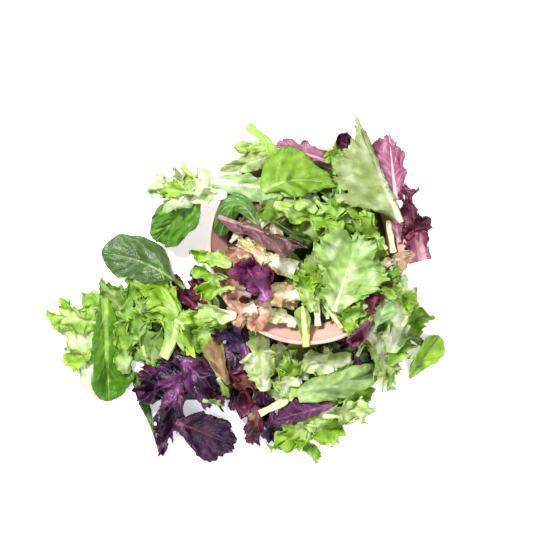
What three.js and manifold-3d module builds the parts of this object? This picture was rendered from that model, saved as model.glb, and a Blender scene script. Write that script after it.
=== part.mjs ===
// A turned wooden bowl heaped with mixed salad leaves, with more of the same leaves lying round it.
// Millimetres, +Z up. The origin is the middle of the bowl's foot, on the table.
import * as THREE from "three";
import { mergeVertices } from "three/addons/utils/BufferGeometryUtils.js";
import Module from "manifold-3d";

const wasm = await Module();
wasm.setup();

// Driving dimensions.
const bowl = {
  radius: 90, // outside, at the rim
  height: 62,
  footRadius: 36,
  footHeight: 3,
  rimWidth: 5,
  floor: 8, // wood under the lowest point inside
  outerSweep: 1.7, // how strongly the outside flares
  innerSweep: 2.6,
  sides: 40,
  steps: 5,
};
const gap = 0.35; // between the salad and the wood
const heap = { radius: 80, rise: 20, shoulder: 72, droop: 0.4 }; // the dome of salad in the bowl
const heapSides = 20;
const leafThickness = 1.1;
const cupping = 0.22; // how far the edges of a leaf stand up, as a share of its half width
const table = { reach: 240, depth: 40 }; // the block that trims what lies below the table

// Tangled leaves that lean over the rim: middle, half widths, height and the level they start at.
const overhangs = [
  { at: [-92, 24], half: [44, 44], height: 4, base: 63 },
  { at: [-80, -38], half: [27, 34], height: 4, base: 63 },
  { at: [20, 84], half: [62, 24], height: 4, base: 63 },
  { at: [88, 24], half: [30, 46], height: 4, base: 63 },
];

// Low mounds of tangled leaves round the bowl.
const mounds = [
  { at: [-148, -74], half: [44, 46], height: 23, base: 0 },
  { at: [-108, -112], half: [44, 44], height: 37, base: 0 },
  { at: [-48, -126], half: [48, 36], height: 28, base: 0 },
  { at: [18, -128], half: [50, 38], height: 30, base: 0 },
  { at: [70, -92], half: [40, 40], height: 26, base: 0 },
  { at: [92, -48], half: [28, 38], height: 22, base: 0 },
];
const moundSides = 10;

// What tells one kind of leaf from another. stem is the width of the cut end; stalk is the share of the
// length with no blade; fullest and round shape the outline; ruffle is the height of its waves.
const kinds = {
  lettuce: { stem: 9, stalk: 0, fullest: 1.35, round: 0.7, ruffle: 4.5, waves: 3.2 },
  batavia: { stem: 8, stalk: 0, fullest: 1.15, round: 0.65, ruffle: 3, waves: 2.6 },
  red: { stem: 8, stalk: 0, fullest: 1.3, round: 0.7, ruffle: 4.5, waves: 3.2 },
  mottled: { stem: 14, stalk: 0, fullest: 1.3, round: 0.65, ruffle: 4.5, waves: 3.6 },
  spinach: { stem: 3, stalk: 0.18, fullest: 0.8, round: 0.8, ruffle: 0.8, waves: 1.4 },
  romaine: { stem: 12, stalk: 0, fullest: 1.2, round: 0.8, ruffle: 1, waves: 1.8 },
  rib: { stem: 9, stalk: 0, fullest: 0.9, round: 0.5, ruffle: 0, waves: 1 },
};

// One leaf a row, lowest first. from is the cut end and to the tip, seen from above; half is how far the
// blade reaches to the left and right of the midrib; lift is the height of each end over the heap.
const innerRows = [
  { kind: "red", from: [34, 72], to: [36, 101], half: [10, 9], lift: [-2, 5] },
  { kind: "red", from: [14, 62], to: [-24, 97], half: [13, 12], lift: [-2, 4] },
  { kind: "red", from: [58, 40], to: [77, 104], half: [14, 20], lift: [-2, 8] },
  { kind: "red", from: [107, -16], to: [88, 60], half: [20, 20], lift: [2, 4], arch: 2 },
  { kind: "red", from: [66, 6], to: [100, 34], half: [14, 12], lift: [-2, 2] },
  { kind: "spinach", from: [-98, 46], to: [-134, 3], half: [20, 20], lift: [-4, -26], arch: 4 },
  { kind: "lettuce", from: [-70, 44], to: [-142, 52], half: [16, 20], lift: [0, -12], arch: 5 },
  { kind: "lettuce", from: [-72, 54], to: [-117, 70], half: [10, 13], lift: [0, 0] },
  { kind: "spinach", from: [-20, 72], to: [-77, 66], half: [12, 10], lift: [0, 4] },
  { kind: "romaine", from: [-53, 108], to: [-24, 70], half: [7, 7], lift: [8, -1] },
  { kind: "lettuce", from: [-34, 80], to: [-64, 92], half: [8, 9], lift: [0, 5] },
  { kind: "romaine", from: [-86, 58], to: [-10, 50], half: [14, 14], lift: [4, 4] },
  { kind: "spinach", from: [-34, 8], to: [-80, 14], half: [10, 14], lift: [-1, 4], arch: 5, bow: 24 },
  { kind: "lettuce", from: [-44, 36], to: [30, 20], half: [10, 10], lift: [-1, 6] },
  { kind: "lettuce", from: [50, 8], to: [12, 52], half: [13, 14], lift: [-1, 7] },
  { kind: "lettuce", from: [26, 6], to: [-36, 52], half: [13, 10], lift: [-1, 10] },
  { kind: "romaine", from: [-50, 54], to: [24, 56], half: [33, 12], lift: [3, 9], arch: 3 },
  { kind: "lettuce", from: [71, -8], to: [40, 36], half: [8, 9], lift: [-1, 8] },
  { kind: "lettuce", from: [44, 66], to: [16, 86], half: [9, 10], lift: [0, 7] },
  { kind: "batavia", from: [82, 20], to: [46, 111], half: [40, 7], lift: [5, 12], arch: 4 },
  { kind: "mottled", from: [66, -22], to: [94, -5], half: [9, 10], lift: [-2, 2] },
  { kind: "red", from: [48, -34], to: [63, -61], half: [9, 9], lift: [-2, 2] },
  { kind: "red", from: [36, -62], to: [50, -92], half: [9, 10], lift: [-3, 0] },
  { kind: "lettuce", from: [62, -44], to: [32, -72], half: [15, 15], lift: [-1, 2] },
  { kind: "rib", from: [-2, -93], to: [-3, -42], half: [3, 3], lift: [3, -1], arch: 1 },
  { kind: "rib", from: [13, -73], to: [8, -44], half: [0, 0], lift: [-6, -1] },
  { kind: "mottled", from: [-4, -70], to: [-60, -46], half: [20, 18], lift: [-4, 4] },
  { kind: "mottled", from: [-2, -14], to: [-66, -18], half: [24, 24], lift: [-1, 6], arch: 3 },
  { kind: "red", from: [-18, -52], to: [-60, -22], half: [17, 17], lift: [2, 8] },
  { kind: "lettuce", from: [5, -58], to: [-10, -20], half: [8, 17], lift: [-1, 8] },
  { kind: "batavia", from: [20, -54], to: [44, 14], half: [34, 37], lift: [-1, 10], arch: 3 },
  { kind: "red", from: [0, -4], to: [-79, 27], half: [11, 3], lift: [-1, 8], arch: 3 },
  { kind: "lettuce", from: [-60, -16], to: [-101, -7], half: [9, 9], lift: [-1, 3] },
  { kind: "lettuce", from: [-58, -40], to: [-102, -32], half: [12, 12], lift: [-1, 2] },
  { kind: "lettuce", from: [-58, -62], to: [-97, -54], half: [10, 10], lift: [-1, 0] },
];
const outerRows = [
  { kind: "spinach", from: [-135, -186], to: [-160, -118], half: [9, 5], lift: [3, 2] },
  { kind: "lettuce", from: [-200, -140], to: [-196, -56], half: [28, 26], lift: [2, 5] },
  { kind: "lettuce", from: [-150, -52], to: [-188, -34], half: [15, 15], lift: [-1, 7] },
  { kind: "red", from: [-96, -62], to: [-114, -30], half: [12, 12], lift: [0, 6] },
  { kind: "lettuce", from: [-122, -84], to: [-166, -96], half: [15, 17], lift: [-1, 5] },
  { kind: "lettuce", from: [-140, -46], to: [-166, -84], half: [15, 15], lift: [-1, 5] },
  { kind: "romaine", from: [-176, -46], to: [-178, -144], half: [25, 12], lift: [3, 4], arch: 3 },
  { kind: "lettuce", from: [-130, -104], to: [-154, -27], half: [24, 15], lift: [1, 6], bow: 12 },
  { kind: "spinach", from: [-112, -40], to: [-188, -4], half: [21, 22], lift: [2, 12], arch: 4 },
  { kind: "lettuce", from: [-124, -84], to: [-74, -80], half: [22, 21], lift: [1, 6] },
  { kind: "red", from: [-92, -92], to: [-148, -136], half: [26, 26], lift: [0, 3] },
  { kind: "red", from: [-100, -92], to: [-80, -144], half: [18, 19], lift: [-1, 4] },
  { kind: "red", from: [-106, -116], to: [-137, -184], half: [17, 17], lift: [-1, 4] },
  { kind: "red", from: [-60, -110], to: [-72, -74], half: [14, 14], lift: [-1, 4] },
  { kind: "rib", from: [-69, -129], to: [-95, -80], half: [4, 4], lift: [5, 2] },
  { kind: "red", from: [-120, -150], to: [-68, -188], half: [20, 22], lift: [-1, 6] },
  { kind: "mottled", from: [-36, -130], to: [-68, -146], half: [22, 22], lift: [-1, 3] },
  { kind: "red", from: [-40, -122], to: [-53, -181], half: [13, 13], lift: [0, 4] },
  { kind: "lettuce", from: [12, -152], to: [11, -202], half: [13, 13], lift: [-1, 3] },
  { kind: "lettuce", from: [38, -140], to: [-22, -182], half: [19, 18], lift: [-1, 3] },
  { kind: "lettuce", from: [14, -150], to: [60, -145], half: [14, 13], lift: [0, 5] },
  { kind: "red", from: [24, -144], to: [-25, -160], half: [13, 14], lift: [0, 6] },
  { kind: "lettuce", from: [-36, -130], to: [-40, -82], half: [18, 18], lift: [-1, 5] },
  { kind: "lettuce", from: [-28, -140], to: [9, -97], half: [17, 17], lift: [-1, 6] },
  { kind: "lettuce", from: [4, -116], to: [44, -91], half: [15, 15], lift: [-1, 5] },
  { kind: "romaine", from: [-8, -138], to: [67, -113], half: [15, 12], lift: [-1, 6], arch: 2 },
  { kind: "lettuce", from: [58, -90], to: [78, -132], half: [17, 17], lift: [-1, 4] },
  { kind: "lettuce", from: [72, -76], to: [88, -18], half: [16, 18], lift: [-1, 2] },
  { kind: "lettuce", from: [78, -96], to: [110, -46], half: [20, 22], lift: [-1, 5] },
  { kind: "spinach", from: [56, -78], to: [76, -52], half: [10, 11], lift: [-1, 5] },
  { kind: "spinach", from: [86, -116], to: [126, -85], half: [14, 15], lift: [0, 6] },
];

const { PI, sin, cos, hypot, min, max, sqrt } = Math;
const mix = (a, b, t) => a + (b - a) * t;

// Height of the inside and outside of the wooden wall at radius r.
const innerWall = (r) =>
  bowl.floor + (bowl.height - bowl.floor) * (r / (bowl.radius - bowl.rimWidth)) ** bowl.innerSweep;
const outerWall = (r) =>
  bowl.footHeight +
  (bowl.height - bowl.footHeight) * ((r - bowl.footRadius) / (bowl.radius - bowl.footRadius)) ** bowl.outerSweep;

// Height of the dome of salad over the bowl.
const domeTop = (r) => bowl.height + heap.rise * (1 - (r / heap.radius) ** 2);

// The bowl's section, from the middle of its foot round the rim to the middle of its inside.
function bowlProfile() {
  const { radius, height, footRadius, rimWidth, steps } = bowl;
  const rounded = rimWidth * 0.3;
  const points = [
    [0, 0],
    [footRadius, 0],
  ];
  for (let i = 0; i <= steps; i++) {
    const r = mix(footRadius, radius, i / steps);
    points.push([r, outerWall(r) - (i === steps ? rounded : 0)]);
  }
  points.push([radius - rounded, height], [radius - rimWidth + rounded, height]);
  for (let i = 0; i <= steps; i++) {
    const r = (radius - rimWidth) * (1 - (i / steps) ** 1.3);
    points.push([r, innerWall(r) - (i === 0 ? rounded : 0)]);
  }
  return points;
}

// The same section moved outwards, off the wood, by a distance.
function widened(points, distance) {
  return points.map(([r, z], i) => {
    const [r0, z0] = points[max(i - 1, 0)];
    const [r1, z1] = points[min(i + 1, points.length - 1)];
    const length = hypot(r1 - r0, z1 - z0);
    const outR = (z1 - z0) / length;
    const outZ = -(r1 - r0) / length;
    return [r === 0 ? 0 : max(r + outR * distance, 0), z + outZ * distance];
  });
}

function solidOf(geometry) {
  const plain = geometry.clone();
  plain.deleteAttribute("normal");
  plain.deleteAttribute("uv");
  const merged = mergeVertices(plain, 1e-4);
  return new wasm.Manifold(
    new wasm.Mesh({
      numProp: 3,
      vertProperties: merged.attributes.position.array,
      triVerts: new Uint32Array(merged.index.array),
    }),
  );
}

function geometryOf(solid) {
  const mesh = solid.getMesh();
  const geometry = new THREE.BufferGeometry();
  geometry.setAttribute("position", new THREE.BufferAttribute(mesh.vertProperties, 3));
  geometry.setIndex(new THREE.BufferAttribute(mesh.triVerts, 1));
  return geometry;
}

// A section turned about the upright axis, which three.js takes as Y.
function turned(points, sides) {
  const geometry = new THREE.LatheGeometry(
    points.map(([r, z]) => new THREE.Vector2(r, z)),
    sides,
  );
  return geometry.rotateX(PI / 2);
}

// The tangle inside the bowl: it fills the wood, then domes over it with uneven sides.
function heapCore() {
  const shares = [0, 0.35, 0.65, 0.88, 1];
  const under = shares.map((share) => [share * heap.shoulder, innerWall(share * heap.shoulder) + gap]);
  const over = shares.map((share) => [share * heap.shoulder, domeTop(share * heap.shoulder)]);
  const geometry = turned([...under, ...over.reverse()], heapSides);
  const position = geometry.attributes.position;
  for (let i = 0; i < position.count; i++) {
    const [x, y, z] = [position.getX(i), position.getY(i), position.getZ(i)];
    const turn = Math.atan2(y, x);
    const uneven = 1 - 0.035 * (1 + sin(5 * turn + 0.16 * z)) * min(z / bowl.height, 1);
    position.setXY(i, x * uneven, y * uneven);
  }
  return solidOf(geometry);
}

function moundSolid({ at, half, height, base }) {
  const profile = [[0, 0]];
  for (const share of [1, 0.8, 0.45, 0]) profile.push([share, 1 - share ** 2]);
  const geometry = turned(profile, moundSides);
  geometry.scale(half[0], half[1], height).translate(at[0], at[1], base);
  return solidOf(geometry);
}

// Height of what a leaf lies on: the highest of the mounds there, or the bare level if there is none.
function highestMound(list, x, y, bare) {
  return list.reduce((top, { at, half, height, base }) => {
    const away = hypot((x - at[0]) / half[0], (y - at[1]) / half[1]);
    return away < 1 ? max(top, base + height * (1 - away ** 2)) : top;
  }, bare);
}

function underInnerLeaf(x, y) {
  const r = hypot(x, y);
  const bare = r < heap.radius ? domeTop(r) : bowl.height + 2 - heap.droop * max(r - bowl.radius, 0);
  return highestMound(overhangs, x, y, bare);
}

const underOuterLeaf = (x, y) => highestMound(mounds, x, y, 0);

// The midrib's line, and the directions across the leaf and out of its face, at share s of its length.
function midribFrame(leaf, ground, s) {
  const { from, to, lift, arch = 0, bow = 0 } = leaf;
  const length = hypot(to[0] - from[0], to[1] - from[1]);
  const start = new THREE.Vector3(...from, ground(...from) + lift[0]);
  const end = new THREE.Vector3(...to, ground(...to) + lift[1]);
  const middle = ground((from[0] + to[0]) / 2, (from[1] + to[1]) / 2) + (lift[0] + lift[1]) / 2;
  const rise = arch + max(middle - (start.z + end.z) / 2, 0);
  const sideways = new THREE.Vector3(to[1] - from[1], from[0] - to[0], 0).divideScalar(length);
  const at = (t) =>
    start
      .clone()
      .lerp(end, t)
      .addScaledVector(sideways, bow * 4 * t * (1 - t))
      .add(new THREE.Vector3(0, 0, rise * 4 * t * (1 - t)));
  const step = 0.02;
  const along = at(s + step).sub(at(s - step)).normalize();
  const across = along.clone().cross(new THREE.Vector3(0, 0, 1)).normalize();
  return { point: at(s), across, out: across.clone().cross(along) };
}

// A point of the blade. Rays run from the midrib to the margin: q goes from the cut end to the tip, b from
// the midrib out, and side is -1 on the left and 1 on the right.
function bladePoint(leaf, order, ground, side, q, b) {
  const kind = kinds[leaf.kind];
  const width = leaf.half[side < 0 ? 0 : 1];
  const open = max(q - kind.stalk, 0) / (1 - kind.stalk);
  const margin = width * sin(PI * open ** kind.fullest) ** kind.round + (kind.stem / 2) * (1 - q) ** 1.5;
  const edgeAlong = sin((PI / 2) * q);
  const ribAlong = 0.93 * q ** 1.15;
  const along = mix(ribAlong, edgeAlong, b);
  const away = margin * b;
  const wave = sin(2 * PI * kind.waves * q + order * 2.4 + side);
  const ruffle = kind.ruffle * min(width / 18, 1) * b * b * sqrt(max(sin(PI * q), 0)) * wave;
  const cup = (cupping * away * away) / max(width, 6);
  const frame = midribFrame(leaf, ground, along);
  return frame.point.addScaledVector(frame.across, side * away).addScaledVector(frame.out, ruffle + cup);
}

// A leaf as a thin closed solid. The middle surface is a grid of rays, shared along the midrib; both faces
// are that grid moved along its normals.
function leafSolid(leaf, order, ground) {
  const length = hypot(leaf.to[0] - leaf.from[0], leaf.to[1] - leaf.from[1]);
  const spread = length + leaf.half[0] + leaf.half[1];
  const rays = spread > 100 ? 5 : spread > 60 ? 4 : 3;
  const rings = spread > 100 ? 2 : 1;
  const last = 2 * rays;
  const id = (i, j) => (j === 0 ? min(i, last - i) : rays + 1 + i * rings + j - 1);
  const points = [];
  for (let i = 0; i <= last; i++) {
    const side = i <= rays ? -1 : 1;
    const q = min(i, last - i) / rays;
    for (let j = 0; j <= rings; j++) points[id(i, j)] = bladePoint(leaf, order, ground, side, q, j / rings);
  }
  const faces = [];
  const edge = [];
  for (let i = 0; i < last; i++) {
    for (let j = 0; j < rings; j++) {
      faces.push([id(i, j), id(i + 1, j), id(i + 1, j + 1)], [id(i, j), id(i + 1, j + 1), id(i, j + 1)]);
    }
    edge.push([id(i, rings), id(i + 1, rings)]);
  }
  for (let j = 0; j < rings; j++) edge.push([id(0, j), id(0, j + 1)], [id(last, j + 1), id(last, j)]);

  const sheet = new THREE.BufferGeometry().setFromPoints(points);
  sheet.setIndex(faces.flat());
  sheet.computeVertexNormals();
  const count = points.length;
  const vertices = new Float32Array(count * 6);
  const normals = sheet.attributes.normal;
  points.forEach((point, i) => {
    const normal = new THREE.Vector3().fromBufferAttribute(normals, i);
    point.clone().addScaledVector(normal, leafThickness / 2).toArray(vertices, i * 3);
    point.clone().addScaledVector(normal, -leafThickness / 2).toArray(vertices, (count + i) * 3);
  });
  const triangles = faces.flatMap(([a, b, c]) => [a, b, c, count + a, count + c, count + b]);
  for (const [a, b] of edge) triangles.push(a, b, count + b, a, count + b, count + a);
  return new wasm.Manifold(
    new wasm.Mesh({ numProp: 3, vertProperties: vertices, triVerts: new Uint32Array(triangles) }),
  );
}

const joined = (solids) => solids.reduce((sum, solid) => sum.add(solid));
const largest = (solid) => solid.decompose().reduce((a, b) => (b.volume() > a.volume() ? b : a));

const bowlGeometry = turned(bowlProfile(), bowl.sides);
const woodRoom = solidOf(turned(widened(bowlProfile(), gap), bowl.sides));
const tableBlock = solidOf(
  new THREE.BoxGeometry(2 * table.reach, 2 * table.reach, table.depth).translate(0, 0, -table.depth / 2),
);

const innerLeaves = innerRows.map((leaf, order) => leafSolid(leaf, order, underInnerLeaf));
const innerHeap = joined([heapCore(), ...overhangs.map(moundSolid), ...innerLeaves]);
const innerSalad = largest(innerHeap.subtract(woodRoom));

const outerLeaves = outerRows.map((leaf, order) => leafSolid(leaf, order, underOuterLeaf));
const outerHeap = joined([...mounds.map(moundSolid), ...outerLeaves]);
const outerSalad = largest(outerHeap.subtract(woodRoom).subtract(tableBlock));

function piece(name, geometry, colour, roughness) {
  const mesh = new THREE.Mesh(geometry, new THREE.MeshStandardMaterial({ color: colour, roughness, metalness: 0 }));
  mesh.name = name;
  return mesh;
}

const saladBowl = new THREE.Group();
saladBowl.add(
  piece("wooden_bowl", bowlGeometry, "#c99782", 0.55),
  piece("salad_in_bowl", geometryOf(innerSalad), "#9cc855", 0.5),
  piece("salad_round_bowl", geometryOf(outerSalad), "#7db441", 0.5),
);

export default saladBowl;
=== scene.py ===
# A turned wooden bowl heaped with mixed salad leaves, and the leaves that lie round it.
import math

import bpy
import numpy as np
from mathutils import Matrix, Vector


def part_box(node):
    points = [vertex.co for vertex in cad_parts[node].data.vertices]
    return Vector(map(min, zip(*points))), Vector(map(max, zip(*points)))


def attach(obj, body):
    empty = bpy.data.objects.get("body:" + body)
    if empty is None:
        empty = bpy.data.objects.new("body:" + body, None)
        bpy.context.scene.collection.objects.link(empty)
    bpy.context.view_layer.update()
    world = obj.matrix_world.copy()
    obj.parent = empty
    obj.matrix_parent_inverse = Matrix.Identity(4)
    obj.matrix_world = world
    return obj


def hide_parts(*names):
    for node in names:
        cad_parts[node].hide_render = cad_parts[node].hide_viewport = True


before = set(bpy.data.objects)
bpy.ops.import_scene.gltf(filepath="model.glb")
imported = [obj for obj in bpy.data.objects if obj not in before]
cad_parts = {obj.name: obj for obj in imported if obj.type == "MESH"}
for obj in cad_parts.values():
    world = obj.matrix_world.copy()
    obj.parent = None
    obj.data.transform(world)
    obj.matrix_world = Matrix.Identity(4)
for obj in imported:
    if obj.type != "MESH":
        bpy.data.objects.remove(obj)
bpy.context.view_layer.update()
mm = 0.001

# Shared helpers


def hexLinear(code):
    # sRGB hex to linear: v/12.92 below 0.04045, else ((v+0.055)/1.055)^2.4
    srgb = np.array([int(code[i : i + 2], 16) / 255 for i in (1, 3, 5)])
    return np.where(srgb <= 0.04045, srgb / 12.92, ((srgb + 0.055) / 1.055) ** 2.4)


def colour(code):
    return (*hexLinear(code), 1.0)


def add(tree, kind, links=None, **settings):
    # one shader node and its settings; a socket takes a value, the socket that feeds it, or a node, which
    # feeds it from its first output
    made = tree.nodes.new("ShaderNode" + kind)
    for name, value in settings.items():
        setattr(made, name, value)
    for socket, value in (links or {}).items():
        if isinstance(value, bpy.types.Node):
            value = value.outputs[0]
        if isinstance(value, bpy.types.NodeSocket):
            tree.links.new(value, made.inputs[socket])
        else:
            made.inputs[socket].default_value = value
    return made


def maths(tree, operation, *values, **settings):
    return add(tree, "Math", dict(enumerate(values)), operation=operation, **settings)


def remap(tree, value, low, high, atLow, atHigh, kind="LINEAR"):
    # atLow where value is low, atHigh where it is high, clamped outside
    return add(tree, "MapRange", {0: value, 1: low, 2: high, 3: atLow, 4: atHigh}, interpolation_type=kind)


def blend(tree, share, first, second):
    return add(tree, "Mix", {0: share, 6: first, 7: second}, data_type="RGBA").outputs[2]


def newMaterial(name):
    material = bpy.data.materials.new(name)
    material.use_nodes = True
    material.node_tree.nodes.clear()
    return material, material.node_tree


def smoothstep(low, high, value):
    t = np.clip((value - low) / (high - low), 0, 1)
    return t * t * (3 - 2 * t)


def newPiece(name, points, quads, material, replaced):
    # points in millimetres; the object stays at the origin
    mesh = bpy.data.meshes.new(name)
    mesh.from_pydata(points * mm, [], quads)
    mesh.materials.append(material)
    piece = bpy.data.objects.new(name, mesh)
    bpy.context.collection.objects.link(piece)
    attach(piece, "root")
    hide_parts(replaced)
    return piece


# Bowl

bowlLook = {
    "footRadius": 36.0,  # mm, as every size here
    "footHeight": 3.0,
    "rimWidth": 3.6,
    "floor": 8.0,
    "outerSweep": 1.7,
    "innerSweep": 2.6,
    "sides": 160,
    "steps": 40,
    "grainSpacing": 2.6,
    "wood": "#e2ac9e",
    "darkGrain": "#c98e80",
    "paleGrain": "#eec2b4",
}
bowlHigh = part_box("wooden_bowl")[1]
bowlRadius = bowlHigh.x / mm
bowlHeight = bowlHigh.z / mm


def innerWall(r):
    # height of the inside of the wood at radius r
    share = r / (bowlRadius - bowlLook["rimWidth"])
    return bowlLook["floor"] + (bowlHeight - bowlLook["floor"]) * share ** bowlLook["innerSweep"]


def outerWall(r):
    foot = bowlLook["footRadius"]
    share = np.clip((r - foot) / (bowlRadius - foot), 0, 1)
    return bowlLook["footHeight"] + (bowlHeight - bowlLook["footHeight"]) * share ** bowlLook["outerSweep"]


def outerRadius(z):
    # the outer wall's formula turned round: radius of the outside at height z
    foot = bowlLook["footRadius"]
    share = np.clip((z - bowlLook["footHeight"]) / (bowlHeight - bowlLook["footHeight"]), 0, 1)
    return foot + (bowlRadius - foot) * share ** (1 / bowlLook["outerSweep"])


def turnedWood():
    # Turned hardwood under a thin oil film: level growth layers show as lines round the wall, with short
    # pores along them and a satin gloss.
    material, tree = newMaterial("turnedWood")
    place = add(tree, "TexCoord").outputs["Object"]
    drift = add(tree, "TexNoise", {"Vector": place, "Scale": 18.0, "Detail": 2.0}).outputs["Color"]
    bent = add(tree, "VectorMath", {0: drift, 1: (0.012, 0.012, 0.012)}, operation="MULTIPLY")
    layers = add(
        tree,
        "TexWave",
        {
            "Vector": add(tree, "VectorMath", {0: place, 1: bent}, operation="ADD"),
            "Scale": 0.314 / (bowlLook["grainSpacing"] * mm),  # a wave node's bands are 0.314 / scale wide
            "Distortion": 2.4,
            "Detail": 3.0,
        },
        bands_direction="Z",
    ).outputs["Fac"]
    stretched = add(tree, "Mapping", {"Vector": place, "Scale": (60.0, 60.0, 900.0)})
    pores = add(tree, "TexNoise", {"Vector": stretched, "Scale": 1.0, "Detail": 4.0}).outputs["Fac"]
    blotches = add(tree, "TexNoise", {"Vector": place, "Scale": 30.0, "Detail": 3.0}).outputs["Fac"]
    wood, darkGrain, paleGrain = (colour(bowlLook[name]) for name in ("wood", "darkGrain", "paleGrain"))
    grained = blend(tree, remap(tree, layers, 0.45, 1.0, 0.0, 0.8), wood, darkGrain)
    withPores = blend(tree, remap(tree, pores, 0.45, 0.7, 0.0, 0.5), grained, paleGrain)
    finished = blend(tree, remap(tree, blotches, 0.35, 0.7, 0.0, 0.35), withPores, paleGrain)
    bump = add(tree, "Bump", {"Height": layers, "Distance": 0.06 * mm, "Strength": 0.3})
    shader = add(
        tree, "BsdfPrincipled", {"Base Color": finished, "Roughness": 0.42, "IOR": 1.5, "Normal": bump}
    )
    add(tree, "OutputMaterial", {"Surface": shader})
    return material


def makeBowl():
    # A section turned about Z: foot, flared outside, half-round rim, hollow inside.
    # Point (i, j) is (r_j cos a_i, r_j sin a_i, z_j).
    steps = bowlLook["steps"]
    rimHalf = bowlLook["rimWidth"] / 2
    footEdge = 1.0  # bevel round the foot
    rimDrop = 1.5  # the walls end this far below the top of the rounded rim
    out = np.linspace(bowlLook["footRadius"], bowlRadius, steps)
    turn = np.linspace(0, math.pi, 13)[1:-1]
    inn = (bowlRadius - 2 * rimHalf) * np.linspace(1, 0, steps) ** 1.2
    outTop = outerWall(out) - rimDrop * smoothstep(0.8, 1, (out - out[0]) / (out[-1] - out[0]))
    innTop = innerWall(inn) - rimDrop * smoothstep(0.8, 1, inn / inn[0])
    radius = np.concatenate(
        [[0, bowlLook["footRadius"] - footEdge], out, bowlRadius - rimHalf + rimHalf * np.cos(turn), inn]
    )
    height = np.concatenate([[0, 0], outTop, bowlHeight - rimDrop + rimDrop * np.sin(turn), innTop])
    angle = np.linspace(0, 2 * math.pi, bowlLook["sides"], endpoint=False)
    inner = slice(1, len(radius) - 1)
    ring = np.stack(
        [
            np.cos(angle)[:, None] * radius[inner],
            np.sin(angle)[:, None] * radius[inner],
            np.broadcast_to(height[inner], (len(angle), len(radius) - 2)),
        ],
        -1,
    )
    points = np.concatenate([ring.reshape(-1, 3), [[0, 0, 0], [0, 0, height[-1]]]])
    index = np.arange(len(angle) * (len(radius) - 2)).reshape(len(angle), -1)
    nextRow = np.roll(index, -1, 0)
    quads = np.stack([index[:, :-1], nextRow[:, :-1], nextRow[:, 1:], index[:, 1:]], -1).reshape(-1, 4)
    bottom = [[len(points) - 2, int(b), int(a)] for a, b in zip(index[:, 0], nextRow[:, 0])]
    inside = [[len(points) - 1, int(a), int(b)] for a, b in zip(index[:, -1], nextRow[:, -1])]
    piece = newPiece(
        "turnedBowl", points, quads.tolist() + bottom + inside, turnedWood(), "wooden_bowl"
    )
    piece.data.shade_smooth()
    print("bowl made")


# Leaf kinds: sizes in mm. stem is the cut end's width and taper how fast it thins; stalk the share of the
# length with no blade; fullest and round shape the outline; ruffle, wave, lobe and tooth shape the margin;
# crumple bends the whole blade, crease is the depth of its folds and savoy of the pucker between veins;
# hide fades the rib into the blade toward the tip, and the share of pale patches sets how much painted sheen,
# in the rib's colour, lies on the blade. plainLeaf has what the kinds share, and each kind names what it has
# otherwise.

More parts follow.
